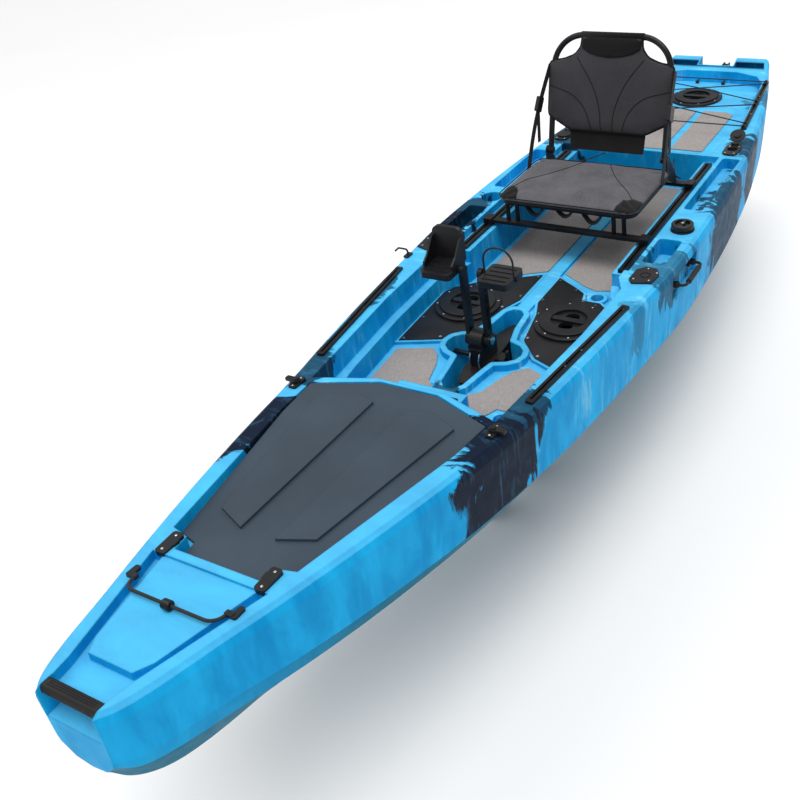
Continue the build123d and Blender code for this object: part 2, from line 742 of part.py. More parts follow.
for s, name in zip(fin_stations, ("front", "rear")):
    drum = rod_y(0, drum_height, 18, s - drum_half, s + drum_half)
    drum += block(s - 12, s + 12, -9, 9, drum_height - 34, drum_height - 10)
    drum += disc(s, 0, mast_radius, drum_height - fin_length, drum_height - 30)
    drum -= rod_y(0, drum_height, 5 + turning_gap, s - 60, s + 60)
    save("fin_mast_" + name, drum)
    y = sy(s)
    low = drum_height - fin_length - 12
    high = drum_height - 40
    profile = Plane(origin=(0, 0, low)) * make_face(
        Spline(
            (0, y - 11),
            (7.5, y),
            (4.5, y + 40),
            (1.2, y + fin_chord - 12),
            (-1.2, y + fin_chord - 12),
            (-4.5, y + 40),
            (-7.5, y),
            periodic=True,
        )
    )
    blade = extrude(profile, amount=high - low)
    trim = Plane.YZ * make_face(
        Polyline(
            (y + fin_chord - 40, low - 5),
            (y + fin_chord + 20, low - 5),
            (y + fin_chord + 20, low + 130),
            close=True,
        )
    )
    blade -= extrude(trim, amount=60, both=True)
    blade -= disc(s, 0, mast_radius, drum_height - fin_length, top)
    save("fin_blade_" + name, blade)


# ---------------------------------------------------------------- seat

rail_top = ledge_height + rail_height
for side, name in ((1, "port"), (-1, "starboard")):
    low, high = sorted((side * (300 - rail_width / 2), side * (300 + rail_width / 2)))
    rail = block(2068, 2981, low, high, ledge_height, rail_top)
    rail -= block(2080, 2969, side * 300 - 4, side * 300 + 4, rail_top - 4, rail_top + 2)
    rail -= block(2080, 2969, side * 300 - 9, side * 300 + 9, rail_top - 9, rail_top - 4)
    gather("seat_rails", rail)

bar_low = rail_top + sliding_gap + 2
bar_high = bar_low + 12
for s, name in ((2277, "front"), (2752, "rear")):
    bar = block(s - 15, s + 15, -316, 316, bar_low, bar_high)
    for side in (1, -1):
        bar += block(s - 22, s + 22, *sorted((side * 284, side * 318)), rail_top + sliding_gap, bar_low)
        bar += rounded_block(s - 22, s + 22, *sorted((side * 284, side * 318)), bar_low, bar_high + 5, 6)
        bar += block(s - 20, s + 20, side * 300 - 3.4, side * 300 + 3.4, rail_top - 5, rail_top + 2)
    gather("seat_bars", bar)

seat_half = seat_width / 2
ring_half = seat_half - seat_tube_radius
seat_front = 2281.0
seat_rear = seat_front + seat_depth
ring_z = seat_height - 22 - seat_tube_radius
near = seat_front + seat_tube_radius
far = seat_rear - seat_tube_radius
frame_ring = tube(
    [(2450, -ring_half, ring_z), (near, -ring_half, ring_z), (near, ring_half, ring_z)]
    + [(far, ring_half, ring_z), (far, -ring_half, ring_z), (2450.01, -ring_half, ring_z)],
    seat_tube_radius,
    [40.0, 40.0, 40.0, 40.0],
)
legs = []
for side in (1, -1):
    legs.append(disc(2284, side * 224, 8, bar_high, ring_z))
    legs.append(disc(2284, side * 186, 8, bar_high, ring_z))
frame = frame_ring
for leg in legs:
    frame += leg
save("seat_frame", frame)
ring_top = ring_z + seat_tube_radius
cushion = rounded_block(seat_front, seat_rear, -seat_half, seat_half, ring_top, ring_top + 22, 40)
cushion = fillet(cushion.faces().sort_by(Axis.Z)[-1].edges(), 8)
save("seat_cushion", cushion)

back_half = back_width / 2 - back_tube_radius
pivot_station = seat_rear + 19
pivot_height = ring_top + 40
for side, name in ((1, "port"), (-1, "starboard")):
    reach = back_half + back_tube_radius + 0.6
    side_view = [
        (seat_rear - 16, ring_z - 8),
        (seat_rear - 16, ring_z + 6),
        (seat_rear + 3, ring_z + 8),
        (pivot_station - 15, pivot_height),
        (pivot_station + 15, pivot_height),
        (2764, bar_high + 16),
        (2764, bar_high),
        (2738, bar_high),
    ]
    cheek = make_face(Polyline(*[(sy(s), z) for s, z in side_view], close=True))
    inner = min(sx(side * reach), sx(side * (reach + 5)))
    plate = Pos(inner, 0, 0) * extrude(Plane.YZ * cheek, amount=sx(5))
    plate += rod_x(pivot_station, pivot_height, 16, *sorted((side * reach, side * (reach + 5))))
    plate += rod_x(pivot_station, pivot_height, 5, *sorted((side * (back_half - 10), side * (reach + 5))))
    plate -= frame_ring
    gather("seat_brackets", plate.solids().sort_by(SortBy.VOLUME)[-1])


def lean_back(shape):
    """Leans a shape, drawn upright over the pivot, to the angle of the backrest."""
    spot = Pos(0, sy(pivot_station), pivot_height)
    return spot * Rot(-back_lean, 0, 0) * shape


hoop_path = FilletPolyline(
    (-sx(back_half), 0, 8),
    (-sx(back_half), 0, back_height),
    (sx(back_half), 0, back_height),
    (sx(back_half), 0, 8),
    radius=[118.0, 118.0],
)
hoop_end = Plane(origin=hoop_path @ 0, z_dir=hoop_path % 0)
hoop = sweep(hoop_end * Circle(back_tube_radius), path=hoop_path)
for side in (1, -1):
    knuckle = Pos(sx(side * back_half), 0, 0) * Rot(0, 90, 0) * Cylinder(13, 2 * back_tube_radius + 0.4)
    hoop += knuckle
    hoop -= Pos(sx(side * back_half), 0, 0) * Rot(0, 90, 0) * Cylinder(5 + turning_gap, 60)
save("back_frame", lean_back(hoop))

panel_half = sx(back_half) - back_tube_radius - 0.2
panel_side = [
    (120, 24),
    (138, 62),
    (panel_half, 100),
    (panel_half, back_height - 128),
    (panel_half - 70, back_height - 92),
    (110, back_height - 60),
    (116, back_height - back_tube_radius),
]
panel_ring = panel_side + [(-x, z) for x, z in reversed(panel_side)]
panel_face = make_face(Polyline(*panel_ring, close=True))
panel = extrude(Plane.XZ * panel_face, amount=8, both=True)
save("back_panel", lean_back(panel))

for side, name in ((1, "port"), (-1, "starboard")):
    low = Vector(sx(side * (seat_half + 5)), sy(2560), ring_z + 6)
    outer = sx(side * (back_half + back_tube_radius + 4))
    high = lean_back(Pos(outer, 0, back_height - 165) * Box(1, 1, 1)).center()
    run = high - low
    strap = Box(2.4, 26, run.length)
    turn = degrees(atan2(run.Y, run.Z))
    side_turn = degrees(atan2(run.X, (run.Y**2 + run.Z**2) ** 0.5))
    strap = Pos(*((low + high) * 0.5)) * Rot(-turn, 0, 0) * Rot(0, side_turn, 0) * strap
    span = sorted((side * (seat_half - 4), side * (seat_half + 6.2)))
    strap += block(2547, 2573, *span, ring_z - 4, ring_z + 8)
    strap -= frame_ring
    gather("back_straps", strap.solids().sort_by(SortBy.VOLUME)[-1])


# ---------------------------------------------------------------- rear deck

for side, name in ((1, "port"), (-1, "starboard")):
    z = gunwale_height
    rail = track(3305, side * 342, 3883, side * 283, z, 22)
    for s in (3320, 3353, 3574, 3615, 3841, 3870):
        along = (s - 3305) / (3883 - 3305)
        x = side * (342 + (283 - 342) * along)
        rail += disc(s, x, 4, z + 5, z + 16)
        rail += disc(s, x, 6.5, z + 16, z + 18)
    gather("rear_rails", rail)


def rail_x(s):
    return 342 + (283 - 342) * (s - 3305) / (3883 - 3305)


cords = []
z = gunwale_height + 12
for s in (3320, 3870):
    reach = sx(rail_x(s)) - 4
    cords.append(Pos(0, sy(s), z) * Rot(0, 90, 0) * Cylinder(2.5, 2 * reach))
for s0, s1, rise in ((3353, 3574, 0), (3574, 3353, 1), (3615, 3841, 0), (3841, 3615, 1)):
    start = Vector(-sx(rail_x(s0)), sy(s0), z)
    stop = Vector(sx(rail_x(s1)), sy(s1), z)
    step = (stop - start).normalized() * 4.2
    middle = (start + stop) * 0.5 + Vector(0, 0, 5.2 * rise)
    path = Polyline(tuple(start + step), tuple(middle), tuple(stop - step))
    if rise == 0:
        path = Polyline(tuple(start + step), tuple(stop - step))
    cords.append(sweep(Plane(origin=path @ 0, z_dir=path % 0) * Circle(2.5), path=path))
lock = rounded_block(3320 - 9, 3320 + 9, -12, 12, gunwale_height + 4, gunwale_height + 22, 4)
lock -= cords[0]
save("rear_bungee", Compound(children=cords + [lock]))


# ---------------------------------------------------------------- rudder

pin_station = 4095.0
bracket = block(4030, 4052, -30, 30, 222, 300)
bracket += block(4030, 4108, -15, 15, 224, 234) + block(4030, 4108, -15, 15, 288, 298)
bracket -= disc(pin_station, 0, rudder_pin_radius, 200, 320)
save("rudder_bracket", bracket)
pin = disc(pin_station, 0, rudder_pin_radius, 216, 298) + disc(pin_station, 0, 9, 298, 302)
save("rudder_pin", pin)
head = disc(pin_station, 0, 16, 234 + turning_gap, 288 - turning_gap)
head += block(pin_station, 4135, -15, 15, 236, 286)
head += rounded_block(pin_station - 11, pin_station + 11, -78, 78, 262, 270, 8)
for side in (1, -1):
    head += block(4128, 4226, *sorted((side * 9, side * 15)), 236, 286)
    head -= disc(pin_station, side * 68, 3, 250, 280)
head += rod_x(4192, 258, 6, -15, 15)
head -= disc(pin_station, 0, rudder_pin_radius + turning_gap, 200, 320)
save("rudder_head", head)
blade_side = Plane.YZ * make_face(
    Polyline(
        (sy(4168), 282),
        (sy(4216), 282),
        (sy(4252), 210),
        (sy(4268), 60),
        (sy(4262), -150),
        (sy(4226), -232),
        (sy(4186), -226),
        (sy(4158), 60),
        (sy(4160), 215),
        close=True,
    )
)
blade = extrude(blade_side, amount=8, both=True)
blade -= rod_x(4192, 258, 6 + turning_gap, -30, 30)
save("rudder_blade", blade)
for side, name in ((1, "port"), (-1, "starboard")):
    line = rod_y(side * 62, 276, 1.6, 3952, 4046)
    eye = rounded_block(3946, 3958, *sorted((side * 54, side * 70)), rear_deck_height, 281, 4)
    gather("steering_lines", line + eye)


# ---------------------------------------------------------------- seat tie-downs

for side, name in ((1, "port"), (-1, "starboard")):
    foot = sorted((side * 120, side * 140))
    eye = rounded_block(3052, 3074, *foot, rear_deck_height, rear_deck_height + 8, 5)
    eye += disc(3063, side * 130, 4, rear_deck_height + 8, rear_deck_height + 20)
    eye += disc(3063, side * 130, 7, rear_deck_height + 20, rear_deck_height + 23)
    gather("tie_down_eyes", eye)
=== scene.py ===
import json
import math

import bmesh
import bpy
from mathutils import Matrix, Vector
from mathutils.bvhtree import BVHTree


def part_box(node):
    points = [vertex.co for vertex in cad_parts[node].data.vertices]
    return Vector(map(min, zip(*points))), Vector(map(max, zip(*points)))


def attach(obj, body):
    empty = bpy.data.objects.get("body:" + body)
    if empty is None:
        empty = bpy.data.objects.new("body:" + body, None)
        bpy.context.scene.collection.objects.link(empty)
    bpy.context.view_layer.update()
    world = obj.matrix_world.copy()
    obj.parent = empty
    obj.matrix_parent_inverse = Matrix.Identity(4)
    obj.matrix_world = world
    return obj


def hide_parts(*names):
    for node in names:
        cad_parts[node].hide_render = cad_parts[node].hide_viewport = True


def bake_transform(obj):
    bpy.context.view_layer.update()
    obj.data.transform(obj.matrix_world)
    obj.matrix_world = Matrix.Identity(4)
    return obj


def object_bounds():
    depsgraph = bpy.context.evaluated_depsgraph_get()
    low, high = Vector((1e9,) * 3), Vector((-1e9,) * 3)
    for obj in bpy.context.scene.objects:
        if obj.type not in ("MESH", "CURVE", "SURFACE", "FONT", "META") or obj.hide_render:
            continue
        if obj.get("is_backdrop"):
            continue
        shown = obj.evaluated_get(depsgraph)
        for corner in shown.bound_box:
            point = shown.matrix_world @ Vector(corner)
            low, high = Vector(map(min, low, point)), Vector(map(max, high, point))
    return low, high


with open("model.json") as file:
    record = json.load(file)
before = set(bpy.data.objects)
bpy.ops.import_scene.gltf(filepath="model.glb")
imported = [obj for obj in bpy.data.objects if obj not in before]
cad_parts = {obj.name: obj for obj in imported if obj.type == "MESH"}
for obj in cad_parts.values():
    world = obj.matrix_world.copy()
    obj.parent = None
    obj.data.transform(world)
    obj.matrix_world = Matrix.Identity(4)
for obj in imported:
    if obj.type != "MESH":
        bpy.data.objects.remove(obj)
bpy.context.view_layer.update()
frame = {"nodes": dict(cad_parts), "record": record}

scene = bpy.context.scene
scene.view_settings.view_transform = "Standard"
NODES = frame["nodes"]


def side_name(side):
    """Port is +X, starboard is -X."""
    return "port" if side > 0 else "starboard"


# ------------------------------------------------------------------ camera

def camera():
    """Stands ahead of the bow, to port, looking down the deck."""
    az, el, roll = math.radians(33.5933), math.radians(31.8688), math.radians(-7.7368)
    aim = Vector((0, -0.59221, 0.3))
    distance = 2.997509
    back = Vector((math.sin(az) * math.cos(el), -math.cos(az) * math.cos(el), math.sin(el)))
    right = (-back).cross(Vector((0, 0, 1))).normalized()
    up = right.cross(-back)
    side = right * math.cos(roll) + up * math.sin(roll)
    head = up * math.cos(roll) - right * math.sin(roll)
    data = bpy.data.cameras.new("camera")
    cam = bpy.data.objects.new("camera", data)
    scene.collection.objects.link(cam)
    turn = Matrix((side, head, back)).transposed().to_4x4()
    cam.matrix_world = Matrix.Translation(aim + back * distance) @ turn
    data.sensor_width = 36
    data.lens = 44.8023465
    data.shift_x = -0.07304375
    data.shift_y = -0.074946875
    data.clip_end = 100
    data.dof.use_dof = False
    scene.camera = cam


# ------------------------------------------------------------------ materials

class Net:
    """Small helper that adds and links shader nodes."""

    def __init__(self, name):
        self.mat = bpy.data.materials.new(name)
        self.mat.use_nodes = True
        self.tree = self.mat.node_tree
        self.shader = self.tree.nodes["Principled BSDF"]
        coords = self.add("ShaderNodeTexCoord")
        self.place = coords.outputs["Object"]

    def add(self, kind, **values):
        node = self.tree.nodes.new(kind)
        for key, value in values.items():
            setattr(node, key, value)
        return node

    def feed(self, socket, value):
        if isinstance(value, bpy.types.NodeSocket):
            self.tree.links.new(value, socket)
        else:
            socket.default_value = value

    def scaled(self, sx, sy, sz, source=None):
        node = self.add("ShaderNodeMapping")
        self.feed(node.inputs["Vector"], source or self.place)
        node.inputs["Scale"].default_value = (sx, sy, sz)
        return node.outputs["Vector"]

    def noise(self, scale, detail=3.0, rough=0.5, vector=None, warp=0.0):
        node = self.add("ShaderNodeTexNoise")
        self.feed(node.inputs["Vector"], vector or self.place)
        node.inputs["Scale"].default_value = scale
        node.inputs["Detail"].default_value = detail
        node.inputs["Roughness"].default_value = rough
        node.inputs["Distortion"].default_value = warp
        return node.outputs["Fac"]

    def step(self, value, low, high, to_low=0.0, to_high=1.0):
        node = self.add("ShaderNodeMapRange")
        node.interpolation_type = "SMOOTHSTEP"
        self.feed(node.inputs["Value"], value)
        self.feed(node.inputs["From Min"], low)
        self.feed(node.inputs["From Max"], high)
        self.feed(node.inputs["To Min"], to_low)
        self.feed(node.inputs["To Max"], to_high)
        return node.outputs["Result"]

    def calc(self, how, a, b):
        node = self.add("ShaderNodeMath", operation=how)
        self.feed(node.inputs[0], a)
        self.feed(node.inputs[1], b)
        return node.outputs[0]

    def mix(self, fac, a, b):
        node = self.add("ShaderNodeMix", data_type="RGBA")
        self.feed(node.inputs[0], fac)
        self.feed(node.inputs[6], a)
        self.feed(node.inputs[7], b)
        return node.outputs[2]

    def bump(self, height, strength, distance, radius=0.0):
        node = self.add("ShaderNodeBump")
        self.feed(node.inputs["Height"], height)
        node.inputs["Strength"].default_value = strength
        node.inputs["Distance"].default_value = distance
        if radius:
            edge = self.add("ShaderNodeBevel")
            edge.samples = 4
            edge.inputs["Radius"].default_value = radius
            self.feed(node.inputs["Normal"], edge.outputs["Normal"])
        self.feed(self.shader.inputs["Normal"], node.outputs["Normal"])


def rgb(r, g, b):
    return (r, g, b, 1.0)


def plain(
    name, dark, light, rough, grain=60.0, strength=0.12, depth=0.0006, metallic=0.0, radius=0.0015
):
    """Moulded or metal surface with slight mottling and grain."""
    net = Net(name)
    blotch = net.step(net.noise(grain * 0.12, 3), 0.3, 0.7)
    net.feed(net.shader.inputs["Base Color"], net.mix(blotch, rgb(*dark), rgb(*light)))
    wear = net.step(net.noise(grain * 0.3, 2), 0.2, 0.8, rough - 0.06, rough + 0.06)
    net.feed(net.shader.inputs["Roughness"], wear)
    net.shader.inputs["Specular IOR Level"].default_value = 0.3
    net.shader.inputs["Metallic"].default_value = metallic
    net.bump(net.noise(grain * 4, 2), strength, depth, radius)
    return net.mat


# Centre of each dark patch in metres, its half sizes, and how strong it is.
PATCHES = [
    ((0.38, -1.00, 0.22), (0.16, 0.15, 0.26), 1.0),
    ((0.36, -0.88, 0.31), (0.09, 0.13, 0.05), 0.9),
    ((-0.31, -1.18, 0.30), (0.10, 0.15, 0.20), 1.0),
    ((-0.37, -0.90, 0.30), (0.09, 0.13, 0.14), 0.9),
    ((-0.42, -0.46, 0.31), (0.05, 0.16, 0.10), 0.8),
    ((0.45, -0.26, 0.24), (0.08, 0.04, 0.12), 0.45),
    ((0.44, 0.02, 0.26), (0.12, 0.13, 0.10), 0.7),
    ((-0.43, 0.06, 0.31), (0.10, 0.14, 0.10), 1.0),
    ((-0.41, 0.20, 0.28), (0.07, 0.14, 0.10), 0.9),
    ((0.46, 0.62, 0.18), (0.10, 0.24, 0.20), 0.9),
    ((0.40, 1.06, 0.22), (0.10, 0.15, 0.16), 0.9),
    ((-0.35, 1.02, 0.28), (0.12, 0.12, 0.14), 0.9),
    ((0.33, 1.62, 0.25), (0.10, 0.12, 0.12), 0.6),
    # painted shade: this patch darkens the front of the drive well
    ((-0.02, -0.71, 0.12), (0.07, 0.06, 0.12), 0.9),
]


def hull_plastic():
    """Marbled blue polyethylene, with painted light: up-facing surfaces are painted paler as a painted
    highlight, low down-facing surfaces are painted darker and greener as painted shade, and one patch is
    painted shade in the front of the drive well.
    """
    net = Net("hull_plastic")
    where = net.add("ShaderNodeSeparateXYZ")
    net.feed(where.inputs[0], net.place)
    streak = net.noise(3.0, 5, 0.62, net.scaled(1.6, 3.2, 0.8), 0.6)
    wisp = net.noise(9.0, 6, 0.7, net.scaled(1.0, 2.4, 0.35), 1.2)
    blue = net.mix(net.step(streak, 0.32, 0.72), rgb(0.001, 0.265, 0.600), rgb(0.010, 0.430, 0.830))
    pale = net.calc("MULTIPLY", net.step(wisp, 0.50, 0.72, 0.0, 0.85), net.step(streak, 0.40, 0.62))
    pale = net.calc("MULTIPLY", pale, net.step(where.outputs[1], -1.15, -0.85))
    blue = net.mix(pale, blue, rgb(0.24, 0.60, 0.82))
    dark = 0.0
    swirl = net.noise(7.0, 5, 0.65, net.scaled(1.0, 1.5, 0.55), 1.4)
    for centre, half, amount in PATCHES:
        shift = net.add("ShaderNodeMapping", vector_type="TEXTURE")
        net.feed(shift.inputs["Vector"], net.place)
        shift.inputs["Location"].default_value = centre
        shift.inputs["Scale"].default_value = half
        length = net.add("ShaderNodeVectorMath", operation="LENGTH")
        net.feed(length.inputs[0], shift.outputs["Vector"])
        ragged = net.calc("MULTIPLY", net.calc("SUBTRACT", swirl, 0.5), 2.6)
        reach = net.calc("ADD", length.outputs["Value"], ragged)
        dark = net.calc("MAXIMUM", dark, net.step(reach, 1.08, 0.90, 0.0, amount))
    navy = net.mix(net.step(wisp, 0.50, 0.78), rgb(0.006, 0.013, 0.030), rgb(0.030, 0.110, 0.200))
    body = net.mix(dark, blue, navy)
    facing = net.add("ShaderNodeNewGeometry")
    tilt = net.add("ShaderNodeSeparateXYZ")
    net.feed(tilt.inputs[0], facing.outputs["Normal"])
    # painted highlight: surfaces facing up are mixed towards a paler blue, as light from above would make
    # them
    highlight_up_facing = net.step(tilt.outputs[2], 0.55, 0.95)
    painted_top_highlight = net.calc("MULTIPLY", highlight_up_facing, net.calc("SUBTRACT", 1.0, dark))
    body = net.mix(net.calc("MULTIPLY", painted_top_highlight, 0.35), body, rgb(0.19, 0.62, 0.84))
    # painted shade: down-facing surfaces low on the hull are mixed towards a dark blue-green
    shade_down_facing = net.step(tilt.outputs[2], -0.10, -0.34)
    under = net.calc("MULTIPLY", shade_down_facing, net.step(where.outputs[2], 0.30, 0.22))
    body = net.mix(under, body, rgb(0.003, 0.150, 0.250))
    net.feed(net.shader.inputs["Base Color"], body)
    net.feed(net.shader.inputs["Roughness"], net.step(net.noise(30.0, 3), 0.3, 0.7, 0.40, 0.52))
    net.shader.inputs["Specular IOR Level"].default_value = 0.06
    net.bump(net.noise(260.0, 2), 0.10, 0.0006, 0.008)
    return net.mat


def lid_plastic():
    net = Net("lid_plastic")
    tone = net.step(net.noise(4.0, 4), 0.3, 0.7)
    shade = net.mix(tone, rgb(0.030, 0.047, 0.066), rgb(0.040, 0.060, 0.082))
    net.feed(net.shader.inputs["Base Color"], shade)
    net.feed(net.shader.inputs["Roughness"], net.step(net.noise(20.0, 3), 0.3, 0.7, 0.52, 0.64))
    net.shader.inputs["Specular IOR Level"].default_value = 0.3
    net.bump(net.noise(700.0, 2), 0.25, 0.0005, 0.003)
    return net.mat


def foam_pad():
    net = Net("foam_pad")
    grain = net.noise(90.0, 4, 0.7, net.scaled(5.0, 0.7, 1.0))
    tone = net.mix(net.step(grain, 0.3, 0.7), rgb(0.225, 0.205, 0.195), rgb(0.330, 0.305, 0.290))
    net.feed(net.shader.inputs["Base Color"], tone)
    net.feed(net.shader.inputs["Roughness"], net.step(grain, 0.2, 0.8, 0.78, 0.92))
    net.bump(grain, 0.3, 0.0006, 0.0015)
    return net.mat


def fabric(name, dark, light, pitch=900.0, rough=0.85):
    """Plain weave with a slight cross-hatch, darker on the backrest than on the seat."""
    net = Net(name)
    warp = net.noise(pitch, 1, 0.5, net.scaled(1.0, 0.12, 0.12))
    weft = net.noise(pitch, 1, 0.5, net.scaled(0.12, 1.0, 1.0))
    weave = net.calc("MULTIPLY", net.step(warp, 0.35, 0.65), net.step(weft, 0.35, 0.65))
    cloud = net.step(net.noise(14.0, 3), 0.3, 0.7)
    tone = net.mix(weave, rgb(*dark), rgb(*light))
    tone = net.mix(net.calc("MULTIPLY", cloud, 0.35), tone, rgb(*[c * 1.25 for c in light]))
    where = net.add("ShaderNodeSeparateXYZ")
    net.feed(where.inputs[0], net.place)
    # darker above 0.46 m, so the backrest comes out darker than the seat
    height_darkening = net.step(where.outputs[2], 0.44, 0.52, 0.0, 0.75)
    tone = net.mix(height_darkening, tone, rgb(*[c * 0.25 for c in dark]))
    net.feed(net.shader.inputs["Base Color"], tone)
    net.feed(net.shader.inputs["Roughness"], net.step(weave, 0, 1, rough - 0.05, rough + 0.08))
    net.shader.inputs["Sheen Weight"].default_value = 0.08
    net.shader.inputs["Specular IOR Level"].default_value = 0.2
    net.bump(weave, 0.35, 0.0007)
    return net.mat


def cord_braid():
    net = Net("cord")
    wave = net.add("ShaderNodeTexWave")
    net.feed(wave.inputs["Vector"], net.scaled(220, 220, 220))
    wave.inputs["Distortion"].default_value = 2.0
    strand = net.step(wave.outputs["Fac"], 0.4, 0.6)
    tone = net.mix(strand, rgb(0.006, 0.006, 0.007), rgb(0.03, 0.03, 0.032))
    net.feed(net.shader.inputs["Base Color"], tone)
    net.shader.inputs["Roughness"].default_value = 0.8
    net.bump(wave.outputs["Fac"], 0.4, 0.0004)
    return net.mat


# Dark tone, light tone, roughness, grain, bump strength, bump depth, then metallic and edge radius.
PLAIN = {
    "black_plastic": ((0.007, 0.007, 0.008), (0.014, 0.014, 0.016), 0.42, 80, 0.15, 0.0004),
    "black_rubber": ((0.009, 0.009, 0.010), (0.016, 0.016, 0.017), 0.62, 70, 0.2, 0.0006),
    "black_aluminium": (
        (0.012, 0.012, 0.013), (0.022, 0.022, 0.024), 0.34, 120, 0.06, 0.0002, 0.55, 0.001
    ),
    "steel": ((0.52, 0.53, 0.55), (0.70, 0.71, 0.72), 0.26, 150, 0.06, 0.0002, 1.0, 0.0006),
    "drive_plastic": ((0.008, 0.008, 0.009), (0.016, 0.016, 0.017), 0.36, 90, 0.12, 0.0004),
    "fin_rubber": ((0.010, 0.010, 0.011), (0.020, 0.020, 0.021), 0.5, 60, 0.15, 0.0005),
    "rudder_plastic": ((0.008, 0.008, 0.009), (0.015, 0.015, 0.016), 0.45, 60, 0.15, 0.0005),
}

MATS = {
    "hull_plastic": hull_plastic(),
    "lid_plastic": lid_plastic(),
    "foam_pad": foam_pad(),
}
for kind, values in PLAIN.items():
    MATS[kind] = plain(kind, *values)
MATS["seat_fabric"] = fabric("seat_fabric", (0.070, 0.069, 0.078), (0.125, 0.122, 0.136))
MATS["strap"] = fabric("strap", (0.005, 0.005, 0.006), (0.012, 0.012, 0.013), 700)
MATS["cord"] = cord_braid()


def dress(obj, slot):
    """Gives an object one material."""
    obj.data.materials.clear()
    obj.data.materials.append(MATS[slot])


for entry in frame["record"]["subparts"]:
    dress(NODES[entry["node"]], entry["material_slot"])


# ------------------------------------------------------------------ stage

def stage():
    """Pale floor under the lowest point, white surroundings and three soft lights."""
    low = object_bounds()[0][2]
    bpy.ops.mesh.primitive_plane_add(size=60, location=(0, 0, low - 0.002))
    floor = bpy.context.object
    floor.name = "floor"
    net = Net("floor")
    cloud = net.noise(0.6, 2)
    net.feed(net.shader.inputs["Base Color"], net.mix(cloud, rgb(0.86, 0.86, 0.86), rgb(0.89, 0.89, 0.89)))
    net.feed(net.shader.inputs["Roughness"], net.step(cloud, 0.2, 0.8, 0.85, 0.95))
    floor.data.materials.append(net.mat)
    floor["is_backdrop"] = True
    world = bpy.data.worlds.new("studio")
    world.use_nodes = True
    world.node_tree.nodes["Background"].inputs[0].default_value = (1, 1, 1, 1)
    world.node_tree.nodes["Background"].inputs[1].default_value = 0.45
    scene.world = world
    for name, kind, place, power, size in (
        ("key", "SUN", (1.0, -1.6, 5.4), 2.1, 0.8),
        ("fill", "AREA", (-3.2, -1.4, 4.2), 80, 3.5),
        ("rim", "AREA", (0.5, 4.0, 4.2), 60, 3.0),
    ):
        data = bpy.data.lights.new(name, kind)
        data.energy = power
        if kind == "SUN":
            data.angle = size
        else:
            data.size = size
        lamp = bpy.data.objects.new(name, data)
        lamp.location = place
        aim = Vector((0, -0.3, 0.2)) - lamp.location
        lamp.rotation_euler = aim.to_track_quat("-Z", "Y").to_euler()
        scene.collection.objects.link(lamp)


# ------------------------------------------------------------------ mesh helpers

def new_object(name, verts, faces, slot, smooth=True):
    """Mesh object with the material of its slot."""
    mesh = bpy.data.meshes.new(name)
    mesh.from_pydata([tuple(v) for v in verts], [], faces)
    mesh.validate()
    mesh.update()
    obj = bpy.data.objects.new(name, mesh)
    scene.collection.objects.link(obj)
    for face in mesh.polygons:
        face.use_smooth = smooth
    mesh.materials.append(MATS[slot])
    return obj


def prism(name, points, low, high, slot, place=None, smooth=False):
    """Closed prism over (u, v) points, between two heights, put through a place function."""
    put = place or (lambda u, v, w: Vector((u, v, w)))
    count = len(points)
    verts = [put(u, v, low) for u, v in points] + [put(u, v, high) for u, v in points]
    faces = [list(range(count))[::-1], list(range(count, 2 * count))]
    for i in range(count):
        j = (i + 1) % count
        faces.append([i, j, count + j, count + i])
    obj = new_object(name, verts, faces, slot, smooth)
    fix_normals(obj)
    return obj


def fix_normals(obj):
    bm = bmesh.new()
    bm.from_mesh(obj.data)
    bmesh.ops.recalc_face_normals(bm, faces=bm.faces)
    bm.to_mesh(obj.data)
    bm.free()


def apply_all(obj):
    """Replaces the mesh with what its modifiers make of it."""
    graph = bpy.context.evaluated_depsgraph_get()
    mesh = bpy.data.meshes.new_from_object(obj.evaluated_get(graph))
    mats = list(obj.data.materials)
    obj.modifiers.clear()
    obj.data = mesh
    if not mesh.materials:
        for m in mats:
            mesh.materials.append(m)


def tube_along(name, points, radius, slot, sides=8, closed=False):
    """Round bar along points, as a mesh."""
    verts, faces = [], []
    points = [Vector(p) for p in points]
    count = len(points)
    last_side = None
    for i, p in enumerate(points):
        a = points[(i - 1) % count] if (closed or i) else p
        b = points[(i + 1) % count] if (closed or i < count - 1) else p
        along = (b - a).normalized()
        ref = last_side or (Vector((0, 0, 1)) if abs(along.z) < 0.9 else Vector((1, 0, 0)))
        side = (ref - along * ref.dot(along)).normalized()
        last_side = side
        other = along.cross(side)
        for k in range(sides):
            turn = 2 * math.pi * k / sides
            verts.append(p + side * (radius * math.cos(turn)) + other * (radius * math.sin(turn)))
    for i in range(count if closed else count - 1):
        j = (i + 1) % count
        for k in range(sides):
            m = (k + 1) % sides
            faces.append([i * sides + k, i * sides + m, j * sides + m, j * sides + k])
    if not closed:
        faces.append(list(range(sides)))
        faces.append([(count - 1) * sides + k for k in range(sides)][::-1])
    obj = new_object(name, verts, faces, slot)
    fix_normals(obj)
    return obj


def curve_points(corners, count):
    """Smooth points through corners, Catmull-Rom."""
    pts = [Vector(c) for c in corners]
    pts = [pts[0] * 2 - pts[1]] + pts + [pts[-1] * 2 - pts[-2]]
    spans = len(pts) - 3
    out = []
    for n in range(count):
        t = n / (count - 1) * spans
        i = min(int(t), spans - 1)
        t -= i
        a, b, c, d = pts[i : i + 4]
        bend = 2 * a - 5 * b + 4 * c - d
        twist = 3 * b - a - 3 * c + d
        out.append(0.5 * ((2 * b) + (c - a) * t + bend * t * t + twist * t**3))
    return out


LARGEST_SWELL = 0.022


